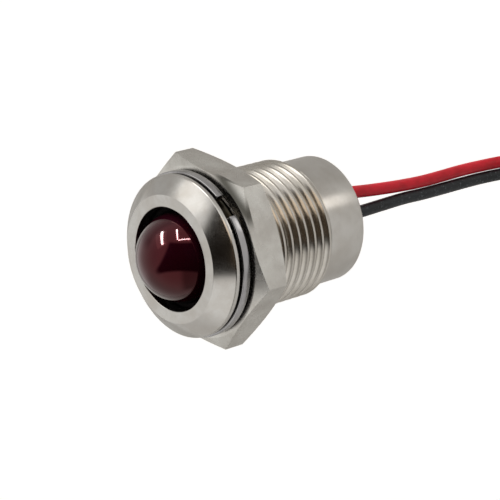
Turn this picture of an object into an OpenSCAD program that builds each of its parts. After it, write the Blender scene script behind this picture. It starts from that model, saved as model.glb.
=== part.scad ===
// Panel pilot light, M14 x 1, with a recessed red dome and two flying leads.
// Millimetres. +Z runs along the barrel towards the lens. The origin is the
// centre of the seating face under the bezel, which lies on the panel.

/* [Barrel] */
// Major diameter of the mounting thread, which every other diameter follows
thread_d = 14; // [12.5:0.1:16]
// Pitch of the mounting thread, which sets its root and the relief
thread_pitch = 1; // [0.8:0.05:1.1]
// Distance from the seating face to the rear end of the thread
thread_end = 13.55; // [12:0.05:15]
// Radial step from the thread's crests down to the smooth rear barrel
rear_step = 0.6; // [0.5:0.02:0.7]
// Distance from the seating face to the rear end of the barrel
barrel_l = 18.35; // [17.8:0.05:20]
// Wall of the smooth rear barrel round its bore
barrel_wall = 0.8; // [0.7:0.02:1]

/* [Bezel] */
// Radial overhang of the bezel beyond the thread
bezel_lip = 1; // [0.7:0.05:2]
// Thickness of the bezel, from the seating face to the front face
bezel_h = 1.85; // [1.5:0.05:2.2]
// Height of the straight rim behind the cone
rim_h = 0.5; // [0.3:0.05:0.9]
// Width of the flat ring between the mouth and the cone
face_w = 1.18; // [0.9:0.02:1.6]
// Width of the shoulder that the lens seats on, from the bore to the mouth
shoulder_w = 0.5; // [0.4:0.02:0.6]
// Depth of the lens shoulder behind the seating face
shoulder_depth = 0.5; // [0.3:0.05:0.7]
// Radial gap between the dome and the mouth
mouth_gap = 0.7; // [0.5:0.02:0.8]

/* [Lens] */
// Height of the dome's top above the front face
dome_rise = 2.9; // [2.5:0.1:3.4]
// Wall of the lens
lens_wall = 0.8; // [0.6:0.1:1]
// Thickness of the lens flange
lens_flange_h = 1; // [0.8:0.1:1.3]
// Depth of the sealing ring's front below the front face
seal_drop = 1.3; // [1.1:0.1:1.5]

/* [Lamp] */
// Diameter of the lamp's dome
led_d = 5; // [4.6:0.1:5.4]
// Height of the lamp without its leads
led_h = 8.6; // [7.8:0.1:9.4]
// Width of the lamp's flange beyond its dome
led_flange_w = 0.45; // [0.35:0.05:0.6]
// Thickness of the lamp's flange
led_flange_h = 1; // [0.8:0.1:1.2]
// Distance between the lamp's leads
led_pitch = 2.54; // [2.2:0.02:2.6]
// Width of a square lamp lead
led_lead_w = 0.45; // [0.4:0.01:0.5]
// Length of the holder that carries the lamp
holder_l = 4.5; // [4.1:0.1:4.9]

/* [Circuit board] */
// Thickness of the board
board_t = 0.8; // [0.6:0.1:1]
// Distance from the holder to the front of the board
board_drop = 2.2; // [1.8:0.1:2.6]
// Wall of the insulating sleeve
sleeve_wall = 0.35; // [0.25:0.05:0.45]
// Distance of a component's axis from the middle of the board
part_x = 2.6; // [2.3:0.1:2.8]
// Distance from a component's hole to the edge of the board
hole_edge = 0.65; // [0.6:0.02:0.8]
// Diameter of the component leads
part_lead_d = 0.5; // [0.4:0.02:0.56]
// Diameter of the series resistor
resistor_d = 2.3; // [2:0.1:2.5]
// Straight lead between the series resistor and its bends
resistor_bend = 0.7; // [0.4:0.05:1]
// Diameter of the reverse diode
diode_d = 2.4; // [2:0.1:2.6]
// Straight lead between the reverse diode and its bends
diode_bend = 1.2; // [0.8:0.05:1.6]
// Gap between the board and the component bodies
part_lift = 0.2; // [0.1:0.05:0.4]
// Diameter of a solder joint at the board
solder_d = 1.1; // [0.9:0.05:1.2]
// Height of a solder joint
solder_h = 0.6; // [0.4:0.05:0.8]
// Length of a trimmed lead's end beyond its solder joint
lead_stub = 0.2; // [0.1:0.05:0.3]

/* [Potting] */
// Thickness of the potting at the rear
potting_t = 3.2; // [2.4:0.1:3.4]
// Depth of the potting's rear face inside the barrel
potting_drop = 0.35; // [0.2:0.05:0.6]

/* [Panel nut] */
// Width of the nut's ring between the thread and a flat
nut_wall = 1.5; // [1.3:0.05:2]
// Thickness of the nut
nut_h = 3.4; // [2.6:0.1:4]
// Angle of the chamfers on both faces
nut_chamfer_angle = 24; // [15:1:30]
// Gap between the washer and the nut at rest
nut_gap = 0.35; // [0.25:0.05:0.6]
// Turn of the hexagon about the axis
nut_turn = 38.25; // [0:0.25:60]

/* [Lock washer] */
// Radial width of the washer's section
washer_w = 0.9; // [0.7:0.05:1.4]
// Thickness of the washer
washer_h = 0.9; // [0.6:0.05:1.2]
// Width of the split, as an angle
washer_split = 16; // [8:1:24]
// Direction of the split's middle
washer_split_at = 35.5; // [0:0.5:90]
// Gap between the bezel and the washer at rest
washer_gap = 0.25; // [0.2:0.05:0.5]

/* [Leads] */
// Diameter of a lead over its insulation
lead_d = 1.3; // [1.2:0.02:1.3]
// Diameter of the stranded conductor
core_d = 0.5; // [0.4:0.02:0.6]
// Stripped length inside, ahead of the insulation
core_in_l = 2.6; // [2.4:0.1:2.8]
// Stripped and tinned length at the far end
tip_l = 6; // [4:0.5:10]
// Straight length of the runs in each hank
hank_run = 26; // [20:0.5:26]
// Thickness of the tie round the hanks
tie_t = 0.5; // [0.4:0.05:0.8]
// Width of the tie round the hanks
tie_w = 2.5; // [2:0.1:3.6]

/* [Clearances] */
// Radial gap between pieces that seat in each other
seat_gap = 0.05; // [0.03:0.01:0.08]
// Radial gap between the nut and the thread
thread_gap = 0.05; // [0.03:0.01:0.08]
// Radial gap between the washer and the thread
washer_bore_gap = 0.25; // [0.15:0.05:0.4]
// Radial gap between a lead and its hole
lead_gap = 0.08; // [0.05:0.01:0.1]

/* [Hidden] */

// facets of round forms; every round fit is an exact cylinder
$fn = 96;
small_fn = 32;
eps = 0.01;

// how far a cut reaches past the face that it opens
past = 1;

// edge breaks on the turned body
edge = 0.12;
rear_chamfer = min(0.4, barrel_wall / 2);

// depth of an external thread, 0.6134 of the pitch
thread_r = thread_d / 2;
thread_root_r = thread_r - 0.6134 * thread_pitch;
relief_l = thread_pitch;
// width of a ridge at its crest and of each of its flanks, which stand at 60 degrees
crest_w = thread_pitch / 6;
flank_l = (thread_r - thread_root_r) * tan(30);
ridges = 1 + floor((thread_end - rear_step - relief_l - crest_w - flank_l) / thread_pitch);

// radii of the body, from the thread inwards and outwards
rim_r = thread_r + bezel_lip;
rear_r = thread_r - rear_step;
bore_r = rear_r - barrel_wall;
mouth_r = bore_r - shoulder_w;
face_r = mouth_r + face_w;
dome_r = mouth_r - mouth_gap;

// stations along the axis, from the front to the rear
dome_z = bezel_h + dome_rise - dome_r;
shoulder = -shoulder_depth;
lens_rear = shoulder - lens_flange_h;
seal_front = bezel_h - seal_drop;
holder_front = lens_rear - seat_gap;
holder_rear = holder_front - holder_l;
board_front = holder_rear - board_drop;
board_rear = board_front - board_t;
rear_end = -barrel_l;
potting_rear = rear_end + potting_drop;
potting_front = potting_rear + potting_t;
washer_front = -washer_gap;
washer_rear = washer_front - washer_h;
nut_front = washer_rear - nut_gap;
nut_rear = nut_front - nut_h;

// radii inside the barrel
insert_r = bore_r - seat_gap;
sleeve_inner_r = insert_r - sleeve_wall;
board_r = sleeve_inner_r - seat_gap;
led_r = led_d / 2;

// places on the board
led_hole_r = led_lead_w * 0.7072 + eps;
part_lead_r = part_lead_d / 2;
part_y = sqrt(pow(board_r - hole_edge, 2) - pow(part_x, 2));
resistor_z = board_rear - resistor_d / 2 - part_lift;
resistor_l = 2 * (part_y - resistor_bend);
diode_z = board_rear - diode_d / 2 - part_lift;
diode_l = 2 * (part_y - diode_bend);
core_r = core_d / 2;
lead_r = lead_d / 2;

// where each lead leaves the board and where it leaves the potting, along Y
red_pad_y = 3.2;
black_pad_y = -3;
red_exit_y = 2.2;
black_exit_y = -0.6;

// insulation starts here, a little behind the board
lead_start = -10;

// routes of the leads' middles, from the board to the top of the hank
red_route = [
    [0, 3.2, -10], [0, 3.2, -10.7], [0, 3.0, -11.8], [0, 2.7, -12.8],
    [0, 2.35, -13.7], [0, 2.2, -14.5], [0, 2.2, -15.2], [0, 2.2, -18],
    [0, 2.12, -19.5], [0, 1.95, -21.5], [0, 1.65, -24.3], [0, 1.36, -27.4],
    [0, 1.1, -30.5], [0, 0.92, -33.4], [0, 0.84, -36.6], [0, 0.8, -39.8],
    [0.1, 0.74, -42.6], [0.6, 0.7, -45], [1.4, 0.67, -47], [2.15, 0.66, -49],
    [2.6, 0.66, -50.8], [2.6, 0.66, -52],
];
black_route = [
    [0, -3, -10], [0, -3, -10.6], [0, -2.65, -11.7], [0, -1.85, -12.7],
    [0, -1.0, -13.6], [0, -0.6, -14.5], [0, -0.6, -15.2], [0, -0.6, -18],
    [0, -0.56, -19.5], [0, -0.5, -21.5], [0, -0.42, -24.3], [0, -0.34, -27.4],
    [0, -0.29, -30.5], [0, -0.42, -33.4], [0, -0.5, -36.6], [0, -0.54, -39.8],
    [0.1, -0.6, -42.6], [0.6, -0.64, -45], [1.4, -0.66, -47], [2.15, -0.66, -49],
    [2.6, -0.66, -50.8], [2.6, -0.66, -52],
];

// hank: three runs folded side by side, two layers deep
fold_r = 2 * lead_d;
hank_top = -52;
hank_half_w = fold_r + lead_r;
hank_inner_y = eps;
hank_depth = 2 * lead_d;
fold_top = hank_top - hank_half_w;
fold_bottom = fold_top - hank_run;
hank_bottom = fold_bottom - hank_half_w;
tip_y = hank_inner_y + 1.5 * lead_d;
hank_mid = (hank_top + hank_bottom) / 2;

function unit(v) = v / norm(v);

// direction of a route at point i
function tangent(p, i) = unit(p[min(i + 1, len(p) - 1)] - p[max(i - 1, 0)]);

// one ring of n corners round point i of a route, square to its direction
function ring(p, i, r, n) =
    let (t = tangent(p, i), u = unit([1, 0, 0] - t[0] * t), v = cross(t, u))
    [for (k = [0 : n - 1]) p[i] + r * cos(360 * k / n) * u + r * sin(360 * k / n) * v];

// closed tube that follows a route
module tube(p, r, n = 8) {
    last = len(p) - 1;
    sides = [
        for (i = [0 : last - 1], k = [0 : n - 1])
        let (a = i * n + k, b = i * n + (k + 1) % n)
        [a, b, b + n, a + n]
    ];
    front_cap = [for (k = [n - 1 : -1 : 0]) k];
    rear_cap = [for (k = [0 : n - 1]) last * n + k];
    polyhedron(
        points = [for (i = [0 : last]) each ring(p, i, r, n)],
        faces = concat([front_cap], sides, [rear_cap])
    );
}

// plain cylinder between two heights
module rod(r, z0, z1, fn = small_fn) {
    translate([0, 0, min(z0, z1)]) cylinder(r = r, h = abs(z1 - z0), $fn = fn);
}

// ring between two heights
module pipe(r_out, r_in, z0, z1) {
    difference() {
        rod(r_out, z0, z1, $fn);
        rod(r_in, min(z0, z1) - past, max(z0, z1) + past, $fn);
    }
}

// places of the two component leads of a part whose axis is at x
module at_part_holes(x) {
    for (s = [-1, 1]) translate([x, s * part_y, 0]) children();
}

// two leads that leave a part's ends, bend over and pass through the board
module bent_leads(x, z, body_l) {
    top = board_front + solder_h + lead_stub;
    for (s = [0, 1]) mirror([0, s, 0]) {
        translate([x, body_l / 2, z]) rotate([-90, 0, 0])
            cylinder(r = part_lead_r, h = part_y - body_l / 2, $fn = small_fn);
        translate([x, part_y, z]) sphere(r = part_lead_r, $fn = small_fn);
        translate([x, part_y, z])
            cylinder(r = part_lead_r, h = top - z, $fn = small_fn);
    }
}

// solder cone on one side of the board, with the hole that the lead fills
module solder_cone(z, way, hole_r) {
    difference() {
        translate([0, 0, z]) mirror([0, 0, way < 0 ? 1 : 0])
            cylinder(r1 = solder_d / 2, r2 = (hole_r + solder_d / 2) / 2, h = solder_h, $fn = small_fn);
        rod(hole_r, z - solder_h - past, z + solder_h + past);
    }
}

// one ridge of the thread, counted from the rear, where the last runs into the chamfer
function ridge(k) = let (z = k * thread_pitch - thread_end + rear_step) concat(
    [[thread_root_r, z + crest_w + flank_l], [thread_r, z + crest_w], [thread_r, z]],
    k == 0 ? [] : [[thread_root_r, z - flank_l]]);

// bezel, threaded barrel and smooth rear barrel, turned from one bar
module body() {
    color("#B8B3AB") rotate_extrude() polygon([
        // front face and its cone
        [mouth_r + edge, bezel_h],
        [face_r, bezel_h],
        [rim_r - edge, rim_h + edge],
        [rim_r, rim_h - edge],
        [rim_r, edge],
        [rim_r - edge, 0],
        // relief under the bezel, then the thread as one ridge to each pitch
        [thread_root_r, 0],
        each [for (k = [ridges - 1 : -1 : 0]) each ridge(k)],
        // chamfer behind the last ridge
        [rear_r, -thread_end],
        // smooth rear barrel
        [rear_r, rear_end + rear_chamfer],
        [rear_r - rear_chamfer, rear_end],
        [bore_r + edge, rear_end],
        [bore_r, rear_end + edge],
        // bore, lens shoulder and mouth
        [bore_r, shoulder],
        [mouth_r, shoulder],
        [mouth_r, bezel_h - edge],
    ]);
}

// hollow dome with a straight skirt and a flange that seats on the shoulder
module lens() {
    inner_r = dome_r - lens_wall;
    color("#4D1A24") difference() {
        union() {
            intersection() {
                translate([0, 0, dome_z]) sphere(r = dome_r);
                rod(dome_r + past, dome_z, dome_z + 2 * dome_r, $fn);
            }
            rod(dome_r, lens_rear, dome_z, $fn);
            rod(insert_r, lens_rear, shoulder, $fn);
        }
        translate([0, 0, dome_z]) sphere(r = inner_r);
        rod(inner_r, lens_rear - past, dome_z, $fn);
    }
}

// rubber ring between the dome and the mouth
module lens_seal() {
    outer = mouth_r - seat_gap;
    inner = dome_r + seat_gap;
    round_r = (outer - inner) / 2;
    color("#151214") rotate_extrude() union() {
        translate([inner, shoulder]) square([outer - inner, seal_front - round_r - shoulder]);
        translate([inner + round_r, seal_front - round_r]) circle(r = round_r, $fn = small_fn);
    }
}

// bush that carries the lamp behind the lens
module led_holder() {
    led_seat = holder_rear + led_flange_h;
    color("#1C1C1E") difference() {
        rod(insert_r, holder_rear, holder_front, $fn);
        rod(led_r + seat_gap, holder_rear - past, holder_front + past, $fn);
        rod(led_r + led_flange_w + seat_gap, holder_rear - past, led_seat, $fn);
    }
}

// 5 mm lamp: a dome on a cylinder, with a flange that has one flat side
module led() {
    flat = led_r + led_flange_w / 3;
    dome_base = holder_rear + led_h - led_r;
    color("#8E1B24") union() {
        rod(led_r, holder_rear, dome_base, $fn);
        intersection() {
            translate([0, 0, dome_base]) sphere(r = led_r);
            rod(led_r + past, dome_base, dome_base + led_d, $fn);
        }
        difference() {
            rod(led_r + led_flange_w, holder_rear, holder_rear + led_flange_h, $fn);
            translate([-led_d, -flat - led_d, holder_rear - past])
                cube([2 * led_d, led_d, led_flange_h + 2 * past]);
        }
    }
}

// one square lamp lead, from the lamp through the board; way is +1 or -1 along Y
module led_lead(way) {
    end = board_rear - solder_h - lead_stub;
    color("#C4C1BA") translate([0, way * led_pitch / 2, 0])
        translate([-led_lead_w / 2, -led_lead_w / 2, end])
        cube([led_lead_w, led_lead_w, holder_rear - end]);
}

module led_anode_lead() {
    led_lead(1);
}

module led_cathode_lead() {
    led_lead(-1);
}

// round board with its eight holes
module circuit_board() {
    color("#2F5A3A") difference() {
        rod(board_r, board_rear, board_front, $fn);
        for (s = [-1, 1]) translate([0, s * led_pitch / 2, 0])
            rod(led_hole_r, board_rear - past, board_front + past);
        for (x = [-part_x, part_x]) at_part_holes(x)
            rod(part_lead_r + eps, board_rear - past, board_front + past);
        for (y = [red_pad_y, black_pad_y]) translate([0, y, 0])
            rod(core_r + eps, board_rear - past, board_front + past);
    }
}

// resistor body with its swollen ends
module series_resistor() {
    r = resistor_d / 2;
    waist = r * 0.85;
    half = resistor_l / 2;
    cap = resistor_l * 0.22;
    color("#C9B48A") translate([part_x, 0, resistor_z]) rotate([-90, 0, 0])
        rotate_extrude($fn = 48) polygon([
            [0, -half],
            [r * 0.6, -half],
            [r, -half + r * 0.4],
            [r, -half + cap],
            [waist, -half + cap + r * 0.3],
            [waist, half - cap - r * 0.3],
            [r, half - cap],
            [r, half - r * 0.4],
            [r * 0.6, half],
            [0, half],
        ]);
}

module resistor_leads() {
    color("#C4C1BA") bent_leads(part_x, resistor_z, resistor_l);
}

// moulded diode body with chamfered ends
module reverse_diode() {
    r = diode_d / 2;
    half = diode_l / 2;
    color("#202124") translate([-part_x, 0, diode_z]) rotate([-90, 0, 0])
        rotate_extrude($fn = 48) polygon([
            [0, -half],
            [r * 0.75, -half],
            [r, -half + r * 0.25],
            [r, half - r * 0.25],
            [r * 0.75, half],
            [0, half],
        ]);
}

module diode_leads() {
    color("#C4C1BA") bent_leads(-part_x, diode_z, diode_l);
}

// two cones behind the board for the lamp, six ahead of it for the rest
module solder_joints() {
    color("#A9ABAE") {
        for (s = [-1, 1]) translate([0, s * led_pitch / 2, 0])
            solder_cone(board_rear, -1, led_hole_r);
        for (x = [-part_x, part_x]) at_part_holes(x)
            solder_cone(board_front, 1, part_lead_r + eps);
        for (y = [red_pad_y, black_pad_y]) translate([0, y, 0])
            solder_cone(board_front, 1, core_r + eps);
    }
}

// insulating tube between the holder and the potting
module board_sleeve() {
    color("#D8CFA8") pipe(insert_r, sleeve_inner_r, potting_front, holder_rear);
}

// epoxy plug that closes the barrel, with a passage for each lead
module potting() {
    color("#18181A") difference() {
        rod(insert_r, potting_rear, potting_front, $fn);
        for (y = [red_exit_y, black_exit_y]) translate([0, y, 0])
            rod(lead_r + lead_gap, potting_rear - past, potting_front + past);
    }
}

module red_lead() {
    color("#B5202E") tube(red_route, lead_r);
}

module black_lead() {
    color("#22262A") tube(black_route, lead_r);
}

// stripped inner end, from the insulation through the board
module lead_core(y) {
    color("#B98A5A") translate([0, y, 0]) rod(core_r, lead_start, lead_start + core_in_l);
}

module red_lead_core() {
    lead_core(red_pad_y);
}

module black_lead_core() {
    lead_core(black_pad_y);
}

// outer shape of one hank: two folds, and square corners where the lead comes and goes
module hank() {
    rotate([90, 0, 0]) translate([0, 0, -hank_inner_y - hank_depth])
        linear_extrude(hank_depth) union() {
            translate([0, fold_top]) circle(r = hank_half_w);
            translate([0, fold_bottom]) circle(r = hank_half_w);
            translate([-hank_half_w, fold_bottom]) square([2 * hank_half_w, hank_run]);
            translate([hank_half_w - lead_d, hank_bottom])
                square([lead_d, hank_top - hank_bottom]);
        }
}

module red_lead_hank() {
    color("#B5202E") hank();
}

module black_lead_hank() {
    color("#22262A") mirror([0, 1, 0]) hank();
}

// tinned far end of one lead
module lead_tip(way) {
    color("#C9C7C0") translate([hank_half_w - lead_r, way * tip_y, 0])
        rod(core_r, hank_bottom - tip_l, hank_bottom);
}

module red_lead_tip() {
    lead_tip(1);
}

module black_lead_tip() {
    lead_tip(-1);
}

// outline with round corners, centred
module rounded(w, h, r) {
    union() {
        square([w - 2 * r, h], center = true);
        square([w, h - 2 * r], center = true);
        for (x = [-1, 1], y = [-1, 1])
            translate([x * (w / 2 - r), y * (h / 2 - r)]) circle(r = r, $fn = small_fn);
    }
}

// tie round both hanks, with its locking head on the +X side
module lead_tie() {
    in_w = 2 * (hank_half_w + seat_gap);
    in_h = 2 * (hank_inner_y + hank_depth + seat_gap);
    head_l = 1.7;
    head_w = 2.6;
    tail_l = 3;
    rim = 0.2;
    color("#E4E1D8") translate([0, 0, hank_mid - tie_w / 2]) {
        difference() {
            union() {
                linear_extrude(tie_w) rounded(in_w + 2 * tie_t, in_h + 2 * tie_t, tie_t + 0.3);
                translate([in_w / 2, -head_w / 2, -rim]) cube([head_l, head_w, tie_w + 2 * rim]);
                translate([in_w / 2 + head_l / 2, head_w / 2 - eps, rim])
                    cube([tie_t, tail_l, tie_w - 2 * rim]);
            }
            translate([0, 0, -past])
                linear_extrude(tie_w + 2 * past) rounded(in_w, in_h, seat_gap);
        }
    }
}

// split spring ring between the bezel's panel and the nut
module lock_washer() {
    inner = thread_r + washer_bore_gap;
    outer = inner + washer_w;
    break_w = 0.1;
    color("#A7A5A0") rotate([0, 0, washer_split_at + washer_split / 2])
        rotate_extrude(angle = 360 - washer_split) polygon([
            [inner, washer_rear + break_w],
            [inner + break_w, washer_rear],
            [outer - break_w, washer_rear],
            [outer, washer_rear + break_w],
            [outer, washer_front - break_w],
            [outer - break_w, washer_front],
            [inner + break_w, washer_front],
            [inner, washer_front - break_w],
        ]);
}

// hexagon nut, chamfered on both faces, with a countersunk bore
module hex_nut() {
    flat_r = thread_r + nut_wall;
    corner_r = flat_r / cos(30);
    chamfer_r = flat_r - 0.05;
    drop = (corner_r - chamfer_r) * tan(nut_chamfer_angle);
    bore = thread_r + thread_gap;
    sink = 0.5 * thread_pitch;
    color("#B5B1AA") difference() {
        intersection() {
            translate([0, 0, nut_rear]) rotate([0, 0, nut_turn])
                cylinder(r = corner_r, h = nut_h, $fn = 6);
            rotate_extrude() polygon([
                [0, nut_rear],
                [chamfer_r, nut_rear],
                [corner_r + eps, nut_rear + drop],
                [corner_r + eps, nut_front - drop],
                [chamfer_r, nut_front],
                [0, nut_front],
            ]);
        }
        rod(bore, nut_rear - past, nut_front + past, $fn);
        for (s = [0, 1]) translate([0, 0, s == 0 ? nut_front : nut_rear])
            mirror([0, 0, s]) translate([0, 0, -sink])
            cylinder(r1 = bore, r2 = bore + sink + eps, h = sink + eps);
    }
}

body();
lens();
lens_seal();
led_holder();
led();
led_anode_lead();
led_cathode_lead();
circuit_board();
series_resistor();
resistor_leads();
reverse_diode();
diode_leads();
solder_joints();
board_sleeve();
potting();
red_lead();
black_lead();
red_lead_core();
black_lead_core();
red_lead_hank();
black_lead_hank();
red_lead_tip();
black_lead_tip();
lead_tie();
lock_washer();
hex_nut();
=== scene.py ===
import enum
import logging
import math
from collections.abc import Callable, Iterable, Sequence
from dataclasses import dataclass

import bmesh
import bpy
from mathutils import Matrix, Vector


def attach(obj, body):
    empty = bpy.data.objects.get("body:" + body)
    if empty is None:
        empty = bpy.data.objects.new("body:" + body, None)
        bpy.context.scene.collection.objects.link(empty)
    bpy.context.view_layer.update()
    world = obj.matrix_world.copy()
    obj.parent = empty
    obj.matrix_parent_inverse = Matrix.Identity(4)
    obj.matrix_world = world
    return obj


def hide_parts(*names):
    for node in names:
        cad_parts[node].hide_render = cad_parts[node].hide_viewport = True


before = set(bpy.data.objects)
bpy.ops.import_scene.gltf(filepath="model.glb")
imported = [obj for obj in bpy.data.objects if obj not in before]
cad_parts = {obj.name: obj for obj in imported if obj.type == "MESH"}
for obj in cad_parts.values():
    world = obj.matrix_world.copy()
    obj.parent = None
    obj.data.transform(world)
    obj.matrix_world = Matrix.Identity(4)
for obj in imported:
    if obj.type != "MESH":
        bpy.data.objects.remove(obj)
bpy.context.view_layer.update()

log = logging.getLogger("pilot_light")

MM = 0.001
RingTest = Callable[[bmesh.types.BMEdge], bool]


# --------------------------------------------------------------------------
# Colours and nodes
# --------------------------------------------------------------------------


def linear(code: str) -> tuple[float, float, float, float]:
    """Turn a written sRGB colour into the linear one that a shader works in.

    Args:
        code: The colour as six hex digits after a hash.

    Returns:
        Red, green, blue and an alpha of 1, each from 0 to 1.
    """
    digits = code.lstrip("#")
    parts = [int(digits[i:i + 2], 16) / 255 for i in (0, 2, 4)]
    red, green, blue = (
        c / 12.92 if c <= 0.04045 else ((c + 0.055) / 1.055) ** 2.4 for c in parts
    )
    return (red, green, blue, 1.0)


def per_mm(size: float) -> float:
    """Give the texture scale at which one cell is as many millimetres as size."""
    return 1 / (size * MM)


def add(
    tree: bpy.types.NodeTree,
    kind: str,
    settings: dict[str | int, object] | None = None,
    links: dict[str | int, bpy.types.NodeSocket] | None = None,
) -> bpy.types.Node:
    """Add one node to a tree, with its settings and what feeds it.

    Args:
        tree: The node tree of a material or of the world.
        kind: The node's type, such as ShaderNodeTexNoise.
        settings: Properties by name, and input sockets by name or number.
        links: For each input socket by name or number, the socket that feeds it.

    Returns:
        The new node.
    """
    node = tree.nodes.new(kind)
    for key, value in (settings or {}).items():
        if isinstance(key, str) and key in node.bl_rna.properties:
            setattr(node, key, value)
    for key, value in (settings or {}).items():
        if isinstance(key, int) or key not in node.bl_rna.properties:
            node.inputs[key].default_value = value
    for key, source in (links or {}).items():
        tree.links.new(source, node.inputs[key])
    return node


# --------------------------------------------------------------------------
# Finishes
# --------------------------------------------------------------------------


@dataclass(frozen=True)
class Grain:
    """One noise on a surface: its cells' width in millimetres, and how broken it is."""

    size: float
    detail: float
    broken: float
    drift: float = 0.0

    def settings(self) -> dict[str | int, object]:
        """Give the settings of the noise node that draws it."""
        return {"Scale": per_mm(self.size), "Detail": self.detail,
                "Roughness": self.broken, "Distortion": self.drift}


@dataclass(frozen=True)
class Finish:
    """One finish of the pilot light: its shader's plain values and its pattern."""

    title: str
    colour: str
    roughness: float
    metallic: float = 0.0
    ior: float = 1.5
    coat: float = 0.0
    coat_roughness: float = 0.05
    coat_ior: float = 1.5
    specular: float = 0.5

    def material(self) -> bpy.types.Material:
        """Make the material once, and give the same one from then on.

        Returns:
            The finished material.
        """
        found = bpy.data.materials.get(self.title)
        if found is not None:
            return found
        made = bpy.data.materials.new(self.title)
        made.use_nodes = True
        made.diffuse_color = linear(self.colour)
        made.metallic = self.metallic
        made.roughness = self.roughness
        tree = made.node_tree
        shader = tree.nodes["Principled BSDF"]
        shader.inputs["Base Color"].default_value = linear(self.colour)
        shader.inputs["Metallic"].default_value = self.metallic
        shader.inputs["Roughness"].default_value = self.roughness
        if self.metallic < 0.5:
            shader.inputs["IOR"].default_value = self.ior
            shader.inputs["Specular IOR Level"].default_value = self.specular
        shader.inputs["Coat Weight"].default_value = self.coat
        shader.inputs["Coat Roughness"].default_value = self.coat_roughness
        shader.inputs["Coat IOR"].default_value = self.coat_ior
        self.pattern(tree, shader)
        return made

    def place(self, tree: bpy.types.NodeTree) -> bpy.types.NodeSocket:
        """Give the place on the piece, in metres of the part's own frame."""
        return add(tree, "ShaderNodeTexCoord").outputs["Object"]

    def pattern(self, tree: bpy.types.NodeTree, shader: bpy.types.Node) -> None:
        """Add what changes over the surface; each finish has its own."""
        raise NotImplementedError

    def mottle(
        self,
        tree: bpy.types.NodeTree,
        where: bpy.types.NodeSocket,
        size: float,
        first: str,
        second: str,
        low: float = 0.35,
        high: float = 0.65,
    ) -> bpy.types.Node:
        """Blend two colours in soft clouds.

        Args:
            tree: The material's node tree.
            where: The place on the piece.
            size: Width of one cloud in millimetres.
            first: The colour where the noise is low.
            second: The colour where the noise is high.
            low: Noise value up to which the first colour holds.
            high: Noise value from which the second colour holds.

        Returns:
            The Mix node, whose third output is the colour.
        """
        noise = add(tree, "ShaderNodeTexNoise",
                    {"Scale": per_mm(size), "Detail": 4.0, "Roughness": 0.6},
                    {"Vector": where})
        part = add(tree, "ShaderNodeMapRange",
                   {"interpolation_type": "SMOOTHSTEP", "From Min": low, "From Max": high},
                   {"Value": noise.outputs["Fac"]})
        return add(tree, "ShaderNodeMix",
                   {"data_type": "RGBA", 6: linear(first), 7: linear(second)},
                   {0: part.outputs["Result"]})

    def skin(
        self,
        tree: bpy.types.NodeTree,
        shader: bpy.types.Node,
        where: bpy.types.NodeSocket,
        grain: Grain,
        depth: float,
        strength: float,
    ) -> None:
        """Raise the surface in a fine grain.

        Args:
            tree: The material's node tree.
            shader: Its Principled shader.
            where: The place on the piece.
            grain: The grain's noise.
            depth: Height of the grain in millimetres.
            strength: How much of that height shows, from 0 to 1.
        """
        noise = add(tree, "ShaderNodeTexNoise", grain.settings(), {"Vector": where})
        lift = add(tree, "ShaderNodeBump", {"Strength": strength, "Distance": depth * MM},
                   {"Height": noise.outputs["Fac"]})
        tree.links.new(lift.outputs["Normal"], shader.inputs["Normal"])

    def wear(
        self,
        tree: bpy.types.NodeTree,
        shader: bpy.types.Node,
        where: bpy.types.NodeSocket,
        grain: Grain,
        span: tuple[float, float],
        gloss: tuple[float, float],
    ) -> None:
        """Let the gloss vary over the surface.

        Args:
            tree: The material's node tree.
            shader: Its Principled shader.
            where: The place on the piece.
            grain: The noise that the gloss follows.
            span: The noise values between which the gloss changes.
            gloss: The roughness at either end of the span.
        """
        noise = add(tree, "ShaderNodeTexNoise", grain.settings(), {"Vector": where})
        dull = add(tree, "ShaderNodeMapRange",
                   {"From Min": span[0], "From Max": span[1],
                    "To Min": gloss[0], "To Max": gloss[1]}, {"Value": noise.outputs["Fac"]})
        tree.links.new(dull.outputs["Result"], shader.inputs["Roughness"])


@dataclass(frozen=True)
class TurnedNickel(Finish):
    """Bright nickel plate on turned brass: pale warm metal with the tool's fine rings.

    The rings run round the part's axis, so they draw each highlight out across
    them, and the plate is duller where it is thin or has been handled.
    """

    ring: float = 0.09
    ring_depth: float = 0.002
    cloud: str = "#C0BCB6"
    spread: float = 0.05

    def pattern(self, tree: bpy.types.NodeTree, shader: bpy.types.Node) -> None:
        """Draw rings by distance from the axis and along it, and soft clouds.

        Args:
            tree: The material's node tree.
            shader: Its Principled shader.
        """
        where = self.place(tree)
        flat = add(tree, "ShaderNodeVectorMath",
                   {"operation": "MULTIPLY", 1: (1.0, 1.0, 0.0)}, {0: where})
        reach = add(tree, "ShaderNodeVectorMath", {"operation": "LENGTH"},
                    {0: flat.outputs["Vector"]})
        split = add(tree, "ShaderNodeSeparateXYZ", None, {0: where})
        track = add(tree, "ShaderNodeCombineXYZ", None,
                    {"X": reach.outputs["Value"], "Z": split.outputs["Z"]})
        colour = self.mottle(tree, where, 2.6, self.colour, self.cloud, 0.25, 0.75)
        tree.links.new(colour.outputs[2], shader.inputs["Base Color"])
        self.wear(tree, shader, where, Grain(0.7, 5.0, 0.7), (0.3, 0.7),
                  (self.roughness - self.spread / 2, self.roughness + self.spread / 2))
        self.skin(tree, shader, track.outputs["Vector"], Grain(self.ring, 3.0, 0.65),
                  self.ring_depth, 0.5)


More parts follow.
